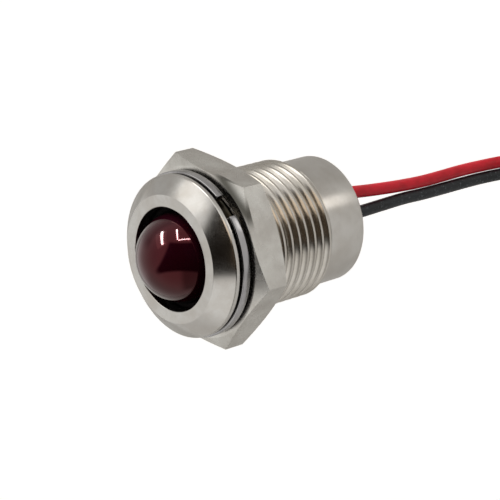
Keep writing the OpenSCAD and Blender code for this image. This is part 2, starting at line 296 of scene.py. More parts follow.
@dataclass(frozen=True)
class SatinNickel(Finish):
    """Nickel plate on milled or stamped metal: an even satin with faint scuffs.

    It has no rings, only a fine grain and a few dull rubs from handling. Where the
    shade's reach is set, a painted olive shade darkens one corner of the front face:
    it stands for the bezel's dark back mirrored there beside the washer.
    """

    cloud: str = "#BFBBB5"
    grain: float = 0.12
    grain_depth: float = 0.002
    painted_shade: str = "#3B3A31"
    painted_shade_r: float = 0.0
    painted_shade_front: float = 0.0
    painted_shade_side: float = 38.0
    painted_shade_rise: float = 0.9
    painted_shade_fade: float = 0.95
    painted_shade_depth: float = 0.85

    def pattern(self, tree: bpy.types.NodeTree, shader: bpy.types.Node) -> None:
        """Draw a fine grain, soft clouds and rubs of duller plate.

        Args:
            tree: The material's node tree.
            shader: Its Principled shader.
        """
        where = self.place(tree)
        colour = self.mottle(tree, where, 3.0, self.colour, self.cloud, 0.25, 0.75)
        if self.painted_shade_r > 0:
            colour = self.paint_shade(tree, where, colour)
        tree.links.new(colour.outputs[2], shader.inputs["Base Color"])
        self.wear(tree, shader, where, Grain(0.9, 6.0, 0.75, 0.6), (0.35, 0.7),
                  (self.roughness - 0.03, self.roughness + 0.04))
        self.skin(tree, shader, where, Grain(self.grain, 2.0, 0.5), self.grain_depth, 0.4)

    def paint_shade(self, tree: bpy.types.NodeTree, where: bpy.types.NodeSocket,
              colour: bpy.types.Node) -> bpy.types.Node:
        """Paint shade on one corner of the front face, fading outwards: a painted dark reflection
        of the bezel's back beside the washer.

        Args:
            tree: The material's node tree.
            where: The place on the piece.
            colour: The Mix node with the clean metal's colour.

        Returns:
            The Mix node with the painted shade laid in.
        """
        side = math.radians(self.painted_shade_side)
        toward = add(tree, "ShaderNodeVectorMath",
                     {"operation": "DOT_PRODUCT", 1: (math.cos(side), math.sin(side), 0.0)},
                     {0: where})
        across = [
            add(tree, "ShaderNodeMapRange",
                {"interpolation_type": "SMOOTHSTEP", "From Min": start * MM,
                 "From Max": end * MM, "To Min": first, "To Max": last},
                {"Value": toward.outputs["Value"]}).outputs["Result"]
            for start, end, first, last in (
                (self.painted_shade_r - self.painted_shade_rise, self.painted_shade_r - 0.1, 0.0, 1.0),
                (self.painted_shade_r, self.painted_shade_r + self.painted_shade_fade, self.painted_shade_depth, 0.0))
        ]
        shade_band = add(tree, "ShaderNodeMath", {"operation": "MULTIPLY"},
                    {0: across[0], 1: across[1]})
        split = add(tree, "ShaderNodeSeparateXYZ", None, {0: where})
        front = add(tree, "ShaderNodeMapRange",
                    {"From Min": (self.painted_shade_front - 0.1) * MM,
                     "From Max": self.painted_shade_front * MM},
                    {"Value": split.outputs["Z"]})
        part = add(tree, "ShaderNodeMath", {"operation": "MULTIPLY"},
                   {0: shade_band.outputs["Value"], 1: front.outputs["Result"]})
        # The olive colour is painted shade, a painted reflection of the bezel's dark back, not an
        # oil stain.
        return add(tree, "ShaderNodeMix", {"data_type": "RGBA", 7: linear(self.painted_shade)},
                   {0: part.outputs["Value"], 6: colour.outputs[2]})


@dataclass(frozen=True)
class RubyPolycarbonate(Finish):
    """Moulded ruby polycarbonate: a glassy skin over a red so deep it reads black.

    The skin mirrors the room sharply, and the red shows only where light comes
    back through the wall.
    """

    deep: str = "#1C0206"
    tint: str = "#FF404C"

    def pattern(self, tree: bpy.types.NodeTree, shader: bpy.types.Node) -> None:
        """Deepen the red in slow swirls and leave a faint moulding ripple.

        Args:
            tree: The material's node tree.
            shader: Its Principled shader.
        """
        where = self.place(tree)
        colour = self.mottle(tree, where, 2.2, self.colour, self.deep)
        shader.inputs["Specular Tint"].default_value = linear(self.tint)
        tree.links.new(colour.outputs[2], shader.inputs["Base Color"])
        self.wear(tree, shader, where, Grain(0.25, 4.0, 0.7), (0.5, 0.85),
                  (self.roughness, self.roughness + 0.12))
        self.skin(tree, shader, where, Grain(1.8, 1.0, 0.4), 0.01, 0.25)


@dataclass(frozen=True)
class MouldedPlastic(Finish):
    """Moulded rubber, plastic or cast resin: one colour with a fine skin texture.

    Clouds keep it from looking painted, and the skin's grain breaks its gloss.
    """

    cloud: str = "#202022"
    cloud_size: float = 1.5
    grain: float = 0.15
    grain_depth: float = 0.01

    def pattern(self, tree: bpy.types.NodeTree, shader: bpy.types.Node) -> None:
        """Draw soft clouds and the mould's grain.

        Args:
            tree: The material's node tree.
            shader: Its Principled shader.
        """
        where = self.place(tree)
        colour = self.mottle(tree, where, self.cloud_size, self.colour, self.cloud)
        grain = Grain(self.grain, 3.0, 0.6)
        tree.links.new(colour.outputs[2], shader.inputs["Base Color"])
        self.wear(tree, shader, where, grain, (0.3, 0.7),
                  (max(self.roughness - 0.06, 0.02), self.roughness + 0.08))
        self.skin(tree, shader, where, grain, self.grain_depth, 0.5)


@dataclass(frozen=True)
class ExtrudedVinyl(Finish):
    """Extruded PVC wire covering: smooth, slightly waxy, with pale specks of talc."""

    shade: str = "#A81622"
    speck: str = "#8E8A86"
    speck_from: float = 0.66
    speck_size: float = 0.22

    def pattern(self, tree: bpy.types.NodeTree, shader: bpy.types.Node) -> None:
        """Draw the two close shades, the talc specks and the faint skin.

        Args:
            tree: The material's node tree.
            shader: Its Principled shader.
        """
        where = self.place(tree)
        colour = self.mottle(tree, where, 3.0, self.colour, self.shade)
        talc = add(tree, "ShaderNodeTexNoise",
                   {"Scale": per_mm(self.speck_size), "Detail": 5.0, "Roughness": 0.75},
                   {"Vector": where})
        spots = add(tree, "ShaderNodeMapRange",
                    {"interpolation_type": "SMOOTHSTEP",
                     "From Min": self.speck_from, "From Max": self.speck_from + 0.08},
                    {"Value": talc.outputs["Fac"]})
        dusty = add(tree, "ShaderNodeMix",
                    {"data_type": "RGBA", 7: linear(self.speck)},
                    {0: spots.outputs["Result"], 6: colour.outputs[2]})
        tree.links.new(dusty.outputs[2], shader.inputs["Base Color"])
        self.skin(tree, shader, where, Grain(0.5, 2.0, 0.5), 0.012, 0.35)


@dataclass(frozen=True)
class DrawnWire(Finish):
    """Drawn copper, tinned wire or set solder: bright metal with dull spots."""

    cloud: str = "#9A978F"
    cloud_size: float = 0.5

    def pattern(self, tree: bpy.types.NodeTree, shader: bpy.types.Node) -> None:
        """Draw dull spots in the bright metal and a fine uneven skin.

        Args:
            tree: The material's node tree.
            shader: Its Principled shader.
        """
        where = self.place(tree)
        colour = self.mottle(tree, where, self.cloud_size, self.colour, self.cloud)
        tree.links.new(colour.outputs[2], shader.inputs["Base Color"])
        self.skin(tree, shader, where, Grain(0.1, 3.0, 0.6), 0.006, 0.4)


@dataclass(frozen=True)
class WovenGlass(Finish):
    """Woven glass under resin: board laminate or varnished sleeving, with its weave."""

    thread: str = "#C9C39A"
    pitch: float = 0.35

    def pattern(self, tree: bpy.types.NodeTree, shader: bpy.types.Node) -> None:
        """Cross two sets of threads at the cloth's own pitch.

        Args:
            tree: The material's node tree.
            shader: Its Principled shader.
        """
        where = self.place(tree)
        warp = add(tree, "ShaderNodeTexWave",
                   {"bands_direction": "X", "Scale": per_mm(self.pitch) / 20,
                    "Distortion": 0.6, "Detail": 1.0}, {"Vector": where})
        weft = add(tree, "ShaderNodeTexWave",
                   {"bands_direction": "Z", "Scale": per_mm(self.pitch) / 20,
                    "Distortion": 0.6, "Detail": 1.0}, {"Vector": where})
        cross = add(tree, "ShaderNodeMath", {"operation": "MULTIPLY"},
                    {0: warp.outputs["Fac"], 1: weft.outputs["Fac"]})
        colour = add(tree, "ShaderNodeMix",
                     {"data_type": "RGBA", 6: linear(self.colour), 7: linear(self.thread)},
                     {0: cross.outputs["Value"]})
        lift = add(tree, "ShaderNodeBump", {"Strength": 0.4, "Distance": 0.02 * MM},
                   {"Height": cross.outputs["Value"]})
        tree.links.new(colour.outputs[2], shader.inputs["Base Color"])
        tree.links.new(lift.outputs["Normal"], shader.inputs["Normal"])


@dataclass(frozen=True)
class BandedLacquer(Finish):
    """Lacquered component body with painted rings that tell its value."""

    bands: tuple[tuple[float, float, str], ...] = ()

    def pattern(self, tree: bpy.types.NodeTree, shader: bpy.types.Node) -> None:
        """Paint each ring between its two places along the component's height.

        Args:
            tree: The material's node tree.
            shader: Its Principled shader.
        """
        where = self.place(tree)
        along = add(tree, "ShaderNodeSeparateXYZ", None, {0: where}).outputs["Z"]
        colour = self.mottle(tree, where, 0.8, self.colour, self.colour)
        paint = colour.outputs[2]
        for start, end, code in self.bands:
            above = add(tree, "ShaderNodeMath",
                        {"operation": "GREATER_THAN", 1: min(start, end) * MM}, {0: along})
            below = add(tree, "ShaderNodeMath",
                        {"operation": "LESS_THAN", 1: max(start, end) * MM}, {0: along})
            inside = add(tree, "ShaderNodeMath", {"operation": "MULTIPLY"},
                         {0: above.outputs["Value"], 1: below.outputs["Value"]})
            ring = add(tree, "ShaderNodeMix", {"data_type": "RGBA", 7: linear(code)},
                       {0: inside.outputs["Value"], 6: paint})
            paint = ring.outputs[2]
        tree.links.new(paint, shader.inputs["Base Color"])
        self.skin(tree, shader, where, Grain(0.3, 2.0, 0.5), 0.01, 0.3)


# Nickel over turned brass: pale, a little warm, with rings left by the tool.
BEZEL_NICKEL = TurnedNickel("turned_nickel_plate", "#CFCECB", 0.19, 1.0)
# Under the spring washer the neck is painted dark as shade, so the washer's gap looks dark.
SHADED_NECK_NICKEL = TurnedNickel("neck_nickel_painted_dark", "#45423A", 0.3, 1.0, ring=0.3,
                           ring_depth=0.0006, cloud="#34312A", spread=0.04)
# The thread is cut with a sharp die, so its flanks are brighter and mirror in bands.
THREAD_NICKEL = TurnedNickel("threaded_nickel_plate", "#CFCBC5", 0.21, 1.0, ring=0.3,
                             ring_depth=0.0006, cloud="#BDB8AF", spread=0.04)
# The rear sleeve has a finer feed than the bezel and shows the room in soft stripes.
SLEEVE_NICKEL = TurnedNickel("fine_turned_nickel_plate", "#CFCDC9", 0.24, 1.0, ring=0.06,
                             ring_depth=0.001, spread=0.04)
# The nut's flats are stamped or milled, so they are a shade duller and have no rings.
# A painted olive shade on the front face's corner beside the washer stands for the bezel's dark
# back mirrored there.
NUT_NICKEL = SatinNickel("milled_nickel_plate", "#DAD9D4", 0.26, 1.0, grain_depth=0.0008,
                         painted_shade_r=8.6, painted_shade_front=-2.1)
# Hardened spring steel under thin nickel: cooler and darker than the brass.
WASHER_STEEL = SatinNickel("nickelled_spring_steel", "#BDBCBD", 0.22, 1.0, cloud="#A5A4A6")
# Deep ruby polycarbonate with a glassy skin.
LENS_RUBY = RubyPolycarbonate("ruby_polycarbonate", "#1A0104", 0.07, ior=1.53, coat=1.0,
                              coat_roughness=0.055, coat_ior=1.24)
# Nitrile rubber ring: almost black and matt, so the gap round the lens reads as dark. The faint
# red in its black is painted red light thrown back from the ruby dome.
SEAL_RUBBER = MouldedPlastic("nitrile_rubber", "#0A0506", 0.85, specular=0.2, cloud="#0F090A")
# Glass-filled nylon holder: black with a slight sheen.
HOLDER_NYLON = MouldedPlastic("glass_filled_nylon", "#17181A", 0.45)
# Diffused red lamp epoxy: cloudy red with a soft gloss.
LAMP_EPOXY = MouldedPlastic("diffused_lamp_epoxy", "#B02430", 0.25, cloud="#8E1B24",
                            grain_depth=0.004)
# Tinned steel legs of the lamp and the parts on the board.
TINNED_WIRE = DrawnWire("tinned_steel_wire", "#C9C8C4", 0.3, 1.0)
# Green-yellow glass laminate of the board.
BOARD_LAMINATE = WovenGlass("glass_epoxy_laminate", "#5E7A3A", 0.4, thread="#7E944E")
# Tan lacquer of the resistor with its value rings.
RESISTOR_LACQUER = BandedLacquer(
    "tan_resistor_lacquer", "#C9A777", 0.35,
    bands=((-10.2, -10.5, "#C0392B"), (-10.9, -11.2, "#6B3FA0"), (-11.6, -11.9, "#C0392B"),
           (-12.5, -12.8, "#B8902F")))
# Black epoxy of the diode with its pale end ring.
DIODE_EPOXY = BandedLacquer("black_diode_epoxy", "#1C1C1E", 0.4,
                            bands=((-10.1, -10.6, "#C9C9C9"),))
# Solder set on the board's pads.
SOLDER = DrawnWire("set_solder", "#BEBDBA", 0.35, 1.0, cloud="#8F8E8B")
# Varnished glass-fibre sleeve round the board.
GLASS_SLEEVE = WovenGlass("varnished_glass_sleeving", "#A79C7C", 0.5, thread="#D8CFB2", pitch=0.5)
# Black potting resin, poured and set: smooth and slightly glossy.
POTTING_RESIN = MouldedPlastic("black_potting_resin", "#141416", 0.28, cloud="#1E1E21",
                               cloud_size=2.5, grain=0.6, grain_depth=0.03)
# Red PVC covering of one lead.
RED_VINYL = ExtrudedVinyl("red_vinyl_covering", "#FA2038", 0.34, specular=0.3, shade="#E01A2E",
                          speck="#E08A90", speck_from=0.68)
# Black PVC covering of the other lead, dusty where it has been handled.
BLACK_VINYL = ExtrudedVinyl("black_vinyl_covering", "#262B30", 0.4, specular=0.35, shade="#1D2226",
                            speck="#5E656B", speck_from=0.56, speck_size=0.36)
# Tinned copper strands at the bare ends.
TINNED_STRANDS = DrawnWire("tinned_copper_strand", "#C8BDAE", 0.32, 1.0, cloud="#A88E74")
# Natural nylon of the tie: milky, a little yellow.
TIE_NYLON = MouldedPlastic("natural_tie_nylon", "#E2DFD4", 0.4, cloud="#D6D2C4", grain_depth=0.008)


# --------------------------------------------------------------------------
# Mesh work shared by the pieces
# --------------------------------------------------------------------------


def section(
    bm: bmesh.types.BMesh, points: Sequence[tuple[float, float]], closed: bool = True
) -> list[bmesh.types.BMVert | bmesh.types.BMEdge]:
    """Lay a half section on the XZ plane, ready to be spun.

    Args:
        bm: The mesh being made, in millimetres.
        points: Distance from the axis and height of each corner.
        closed: Whether the last corner joins the first.

    Returns:
        The new vertices and edges.
    """
    verts = [bm.verts.new((reach, 0.0, height)) for reach, height in points]
    ends = verts[1:] + verts[:1] if closed else verts[1:]
    edges = [bm.edges.new((one, two)) for one, two in zip(verts, ends)]
    return verts + edges


def turn(
    bm: bmesh.types.BMesh,
    geom: Sequence[bmesh.types.BMVert | bmesh.types.BMEdge],
    steps: int = 160,
    centre: tuple[float, float, float] = (0.0, 0.0, 0.0),
) -> None:
    """Spin a half section right round an axis along Z and close its seam.

    Args:
        bm: The mesh being made, in millimetres.
        geom: The vertices and edges to spin.
        steps: How many strips the full turn has.
        centre: A point on the axis.
    """
    bmesh.ops.spin(bm, geom=list(geom), cent=centre, axis=(0, 0, 1), dvec=(0, 0, 0),
                   angle=math.tau, steps=steps, use_merge=True, use_duplicate=False)
    tidy(bm)


def tidy(bm: bmesh.types.BMesh) -> None:
    """Merge doubled vertices, then turn every face outwards."""
    bmesh.ops.remove_doubles(bm, verts=bm.verts[:], dist=0.0005)
    bmesh.ops.recalc_face_normals(bm, faces=bm.faces[:])


def soften(bm: bmesh.types.BMesh, keep: RingTest, width: float, segments: int = 3) -> None:
    """Round the edges that pass a test.

    Args:
        bm: The mesh being made, in millimetres.
        keep: Tells whether an edge is rounded.
        width: How far the rounding reaches from the edge.
        segments: How many strips the rounding has.
    """
    edges = [edge for edge in bm.edges if keep(edge)]
    bmesh.ops.bevel(bm, geom=edges, offset=width, offset_type="OFFSET", affect="EDGES",
                    segments=segments, profile=0.5, material=-1, clamp_overlap=True)


def on_ring(reach: float, height: float) -> RingTest:
    """Give a test for the edges of the ring at that distance and height."""

    def test(edge: bmesh.types.BMEdge) -> bool:
        """Tell whether both ends of the edge lie on the ring."""
        return all(abs(math.hypot(v.co.x, v.co.y) - reach) < 0.004
                   and abs(v.co.z - height) < 0.004 for v in edge.verts)

    return test


def sharper(degrees: float) -> RingTest:
    """Give a test for edges whose two faces meet at more than that angle."""
    return lambda edge: (len(edge.link_faces) == 2
                         and edge.calc_face_angle(0.0) > math.radians(degrees))


def rounded_box(
    bm: bmesh.types.BMesh,
    low: tuple[float, float, float],
    high: tuple[float, float, float],
    width: float,
) -> None:
    """Add a box with rounded edges.

    Args:
        bm: The mesh being made, in millimetres.
        low: The box's lowest corner.
        high: The box's highest corner.
        width: The rounding's reach.
    """
    size = Vector(high) - Vector(low)
    spot = Matrix.Translation((Vector(high) + Vector(low)) / 2) @ Matrix.Diagonal((*size, 1))
    made = bmesh.ops.create_cube(bm, size=1.0, matrix=spot)["verts"]
    edges = list({edge for vert in made for edge in vert.link_edges})
    bmesh.ops.bevel(bm, geom=edges, offset=width, offset_type="OFFSET",
                    affect="EDGES", segments=3, profile=0.5, material=-1)


def to_object(bm: bmesh.types.BMesh, name: str, smooth: float = 30.0) -> bpy.types.Object:
    """Turn a mesh in millimetres into an object in metres at the origin.

    Args:
        bm: The finished mesh, which is freed.
        name: The object's name.
        smooth: Edges sharper than this many degrees stay crisp.

    Returns:
        The new object, linked to the scene.
    """
    bmesh.ops.scale(bm, vec=(MM, MM, MM), verts=bm.verts[:])
    for face in bm.faces:
        face.smooth = True
    mesh = bpy.data.meshes.new(name)
    bm.to_mesh(mesh)
    bm.free()
    mesh.set_sharp_from_angle(angle=math.radians(smooth))
    made = bpy.data.objects.new(name, mesh)
    bpy.context.scene.collection.objects.link(made)
    return made


def dress(piece: bpy.types.Object, *finishes: Finish) -> None:
    """Put one finish on every slot of a piece, or several on slots of their own."""
    if not piece.material_slots:
        for finish in finishes:
            piece.data.materials.append(finish.material())
    for slot, finish in zip(piece.material_slots, finishes):
        slot.material = finish.material()


def settle(
    piece: bpy.types.Object,
    finish: Finish | Sequence[Finish],
    body: str,
    nodes: Iterable[str],
) -> None:
    """Dress a new piece, let it ride, and say what it stands for.

    Args:
        piece: The new piece.
        finish: What it is made of, or one finish for each of its zones.
        body: The body that it rides on.
        nodes: The plain solids that it stands for.
    """
    dress(piece, *(finish if isinstance(finish, Sequence) else (finish,)))
    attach(piece, body)
    names = list(nodes)
    if names:
        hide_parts(*names)
    log.info("%s rides on %s for %s", piece.name, body, ", ".join(names) or "nothing")


# --------------------------------------------------------------------------
# Camera and studio
# --------------------------------------------------------------------------


@dataclass(frozen=True)
class Viewpoint:
    """The camera: its three axes, how far it stands off, and its lens."""

    right: tuple[float, float, float] = (0.6603, -0.1518, -0.7354)
    up: tuple[float, float, float] = (-0.0095, 0.9776, -0.2103)
    back: tuple[float, float, float] = (0.7508, 0.1459, 0.6441)
    aim_height: float = 1.85
    off_right: float = 7.656
    off_up: float = 0.917
    distance: float = 185.4
    lens: float = 140.8

    def build(self) -> bpy.types.Object:
        """Set the camera up and make it the scene's.

        Returns:
            The camera.
        """
        data = bpy.data.cameras.new("viewpoint")
        data.lens = self.lens
        data.sensor_width = 36.0
        data.clip_start = 0.01
        data.clip_end = 20.0
        camera = bpy.data.objects.new("viewpoint", data)
        bpy.context.scene.collection.objects.link(camera)
        right, up, back = Vector(self.right), Vector(self.up), Vector(self.back)
        spot = (Vector((0, 0, self.aim_height)) + right * self.off_right
                + up * self.off_up + back * self.distance) * MM
        camera.matrix_world = (Matrix.Translation(spot)
                               @ Matrix((right, up, back)).transposed().to_4x4())
        bpy.context.scene.camera = camera
        log.info("camera stands %.0f mm off", self.distance)
        return camera

    def along(self, right: float, up: float, back: float) -> Vector:
        """Turn a direction in the camera's own axes into one of the part's frame."""
        return (Vector(self.right) * right + Vector(self.up) * up
                + Vector(self.back) * back).normalized()


@dataclass(frozen=True)
class StripLight:
    """One long narrow studio lamp, given by the directions of its two ends."""

    name: str
    first: tuple[float, float, float]
    second: tuple[float, float, float]
    width: float
    glow: float
    distance: float = 0.45
    tone: str = "#FFFBF6"
    only: bpy.types.Object | None = None

    def build(self, view: Viewpoint) -> bpy.types.Object:
        """Hang the lamp so that it faces the part.

        Args:
            view: The camera whose axes the directions are given in.

        Returns:
            The lamp.
        """
        distance = self.distance
        one, two = view.along(*self.first), view.along(*self.second)
        middle = (one + two).normalized()
        along = (two - one).normalized()
        data = bpy.data.lights.new(self.name, "AREA")
        data.shape = "RECTANGLE"
        data.size = (two - one).length * distance
        data.size_y = self.width * distance
        data.energy = self.glow * math.pi * data.size * data.size_y
        data.color = linear(self.tone)[:3]
        lamp = bpy.data.objects.new(self.name, data)
        side = middle.cross(along).normalized()
        lamp.matrix_world = (Matrix.Translation(middle * distance)
                             @ Matrix((along, side, middle)).transposed().to_4x4())
        lamp.visible_camera = False
        if self.only is not None:
            reached = bpy.data.collections.new(f"{self.name}_reaches")
            reached.objects.link(self.only)
            lamp.light_linking.receiver_collection = reached
        bpy.context.scene.collection.objects.link(lamp)
        return lamp


@dataclass(frozen=True)
class Studio:
    """The pale floor, the soft room light with its dark side, and the strip lamps."""

    floor_height: float = -96.0
    floor_size: float = 3.0
    light: str = "#FFFDFA"
    light_level: float = 0.92
    dark: str = "#140F0A"
    dim: str = "#5E5A52"
    overhead: float = 0.52
    below: float = 0.34
    beside: float = 0.15
    low_corner: float = 0.6
    sky_slope: tuple[float, float] = (0.35, 1.5)
    paper: str = "#E9E7E4"
    paper_lift: float = 0.62
    open_floor: tuple[float, float] = (0.06, 0.13)
    floor_glow: tuple[float, float] = (0.05, 0.25)
    glint: str = "#B3FFFD"

    def build(self, view: Viewpoint, lens: bpy.types.Object, body: bpy.types.Object) -> None:
        """Make the floor, the room and the lamps.

        Args:
            view: The camera that the room is laid out around.
            lens: The dome, which alone gets the sharp window glints.
            body: The barrel, which alone sees the warm cards.
        """
        self.floor(view)
        self.room(view)
        strips = (
            StripLight("soft_window", (-0.58, 0.72, 0.10), (-0.76, 0.38, 0.66), 0.45, 0.5),
            StripLight("barrel_strip", (0.68, 0.45, 0.22), (1.04, 0.55, -0.10), 0.22, 1.1, 0.09),
            StripLight("window_edge", (-0.60, 0.79, 0.12), (-0.69, 0.44, 0.59), 0.09, 95.0,
                       tone=self.glint, only=lens),
            StripLight("upright_edge", (-0.144, 0.94, 0.31), (-0.12, 0.66, 0.74), 0.05, 85.0,
                       tone=self.glint, only=lens),
            StripLight("level_edge", (-0.11, 0.643, 0.757), (0.50, 0.65, 0.57), 0.035, 85.0,
                       tone=self.glint, only=lens),
            StripLight("warm_card", (-0.24, 0.36, 0.91), (0.52, 0.36, 0.78), 0.46, 1.25,
                       tone="#EFDCC6", only=body),
            StripLight("brown_card", (-0.2, -0.18, 0.95), (0.55, -0.18, 0.82), 0.62, 0.07,
                       tone="#E2C29E", only=body),
            StripLight("crest_card", (-0.50, 0.84, 0.20), (0.25, 0.95, 0.12), 0.50, 1.7,
                       only=body),
        )
        for strip in strips:
            strip.build(view)
        log.info("studio has %d strip lamps", len(strips))

    def floor(self, view: Viewpoint) -> None:
        """Lay the pale floor under the folded leads, white where it is seen.

        Args:
            view: The camera on whose right the floor is lit the most.
        """
        bm = bmesh.new()
        bmesh.ops.create_grid(bm, x_segments=1, y_segments=1, size=self.floor_size / 2 / MM)
        bmesh.ops.translate(bm, vec=(0, 0, self.floor_height), verts=bm.verts[:])
        plane = to_object(bm, "studio_floor")
        made = bpy.data.materials.new("pale_paper_floor")
        made.use_nodes = True
        tree = made.node_tree
        paper = tree.nodes["Principled BSDF"]
        paper.inputs["Base Color"].default_value = linear(self.paper)
        paper.inputs["Roughness"].default_value = 0.9
        path = add(tree, "ShaderNodeLightPath")
        seen = add(tree, "ShaderNodeMath", {"operation": "MAXIMUM"},
                   {0: path.outputs["Is Camera Ray"], 1: path.outputs["Is Transmission Ray"]})
        spot = add(tree, "ShaderNodeTexCoord").outputs["Object"]
        aside = add(tree, "ShaderNodeVectorMath", {"operation": "DOT_PRODUCT", 1: view.right},
                    {0: spot})
        lit = add(tree, "ShaderNodeMapRange",
                  {"From Min": self.open_floor[0], "From Max": self.open_floor[1],
                   "To Min": self.floor_glow[0], "To Max": self.floor_glow[1]},
                  {"Value": aside.outputs["Value"]})
        mirrored = add(tree, "ShaderNodeMath", {"operation": "MULTIPLY"},
                       {0: path.outputs["Is Glossy Ray"], 1: lit.outputs["Result"]})
        lift = add(tree, "ShaderNodeMath", {"operation": "MULTIPLY_ADD", 1: self.paper_lift},
                   {0: seen.outputs["Value"], 2: mirrored.outputs["Value"]})
        glow = add(tree, "ShaderNodeEmission", {"Color": (1, 1, 1, 1)},
                   {"Strength": lift.outputs["Value"]})
        both = add(tree, "ShaderNodeAddShader", None,
                   {0: paper.outputs["BSDF"], 1: glow.outputs["Emission"]})
        tree.links.new(both.outputs["Shader"], tree.nodes["Material Output"].inputs["Surface"])
        plane.data.materials.append(made)

    def room(self, view: Viewpoint) -> None:
        """Light the part with a pale room that is dark on the camera's side.

        Args:
            view: The camera that the room is laid out around.
        """
        world = bpy.data.worlds.new("soft_room")
        world.use_nodes = True
        bpy.context.scene.world = world
        tree = world.node_tree
        sight = add(tree, "ShaderNodeTexCoord").outputs["Generated"]
        part = {
            name: add(tree, "ShaderNodeVectorMath",
                      {"operation": "DOT_PRODUCT", 1: axis}, {0: sight}).outputs["Value"]
            for name, axis in (("right", view.right), ("up", view.up), ("back", view.back),
                               ("lean", Vector(view.right) - 0.4 * Vector(view.up)))
        }

        def ease(name: str, start: float, end: float) -> bpy.types.NodeSocket:
            """Rise softly from 0 to 1 between two values of one direction."""
            return add(tree, "ShaderNodeMapRange",
                       {"interpolation_type": "SMOOTHSTEP", "From Min": start, "From Max": end},
                       {"Value": part[name]}).outputs["Result"]

        def times(one: bpy.types.NodeSocket, two: bpy.types.NodeSocket) -> bpy.types.NodeSocket:
            """Multiply two values."""
            return add(tree, "ShaderNodeMath", {"operation": "MULTIPLY"},
                       {0: one, 1: two}).outputs["Value"]

        shade = times(times(ease("up", -0.66, -0.54), ease("up", 0.62, 0.50)),
                      times(ease("back", 0.05, 0.45), ease("lean", -0.74, -0.60)))
        dimmed = None
        for zone, depth in (
            (times(ease("up", 0.1, 0.45), ease("back", 0.15, -0.15)), self.overhead),
            (times(ease("up", -0.35, -0.6), ease("back", 0.25, -0.3)), self.below),
            (ease("right", -0.8, -0.95), self.beside),
            (times(ease("up", -0.45, -0.62), times(ease("right", -0.1, 0.2),
                                                   ease("back", -0.2, 0.1))),
             self.low_corner),
        ):
            more = add(tree, "ShaderNodeMath", {"operation": "MULTIPLY_ADD", 1: depth, 2: 0.0},
                       {0: zone} if dimmed is None else {0: zone, 2: dimmed})
            dimmed = more.outputs["Value"]
        pale = add(tree, "ShaderNodeMix",
                   {"data_type": "RGBA", 6: linear(self.light), 7: linear(self.dim)},
                   {0: dimmed})
        light = add(tree, "ShaderNodeMix", {"data_type": "RGBA", 7: linear(self.dark)},
                    {0: shade, 6: pale.outputs[2]})
        path = add(tree, "ShaderNodeLightPath")
        slope = add(tree, "ShaderNodeMapRange",
                    {"From Min": -1.0, "From Max": 1.0, "To Min": self.sky_slope[0],
                     "To Max": self.sky_slope[1]},
                    {"Value": part["up"]})
        level = add(tree, "ShaderNodeMix", {"data_type": "FLOAT", 2: self.light_level},
                    {0: path.outputs["Is Diffuse Ray"], 3: slope.outputs["Result"]})
        lit = add(tree, "ShaderNodeBackground", None,
                  {"Color": light.outputs[2], "Strength": level.outputs[0]})
        white = add(tree, "ShaderNodeBackground", {"Color": (1, 1, 1, 1), "Strength": 1.0})
        seen = add(tree, "ShaderNodeMath", {"operation": "MAXIMUM"},
                   {0: path.outputs["Is Camera Ray"], 1: path.outputs["Is Transmission Ray"]})
        both = add(tree, "ShaderNodeMixShader", None,
                   {0: seen.outputs["Value"], 1: lit.outputs["Background"],
                    2: white.outputs["Background"]})
        out = [node for node in tree.nodes if node.type == "OUTPUT_WORLD"][0]
        tree.links.new(both.outputs["Shader"], out.inputs["Surface"])


# --------------------------------------------------------------------------
# Leads, their bare ends and the tie
# --------------------------------------------------------------------------


class LeadSide(enum.Enum):
    """Which of the two leads a piece belongs to, and its side of the middle."""

    RED = 1
    BLACK = -1


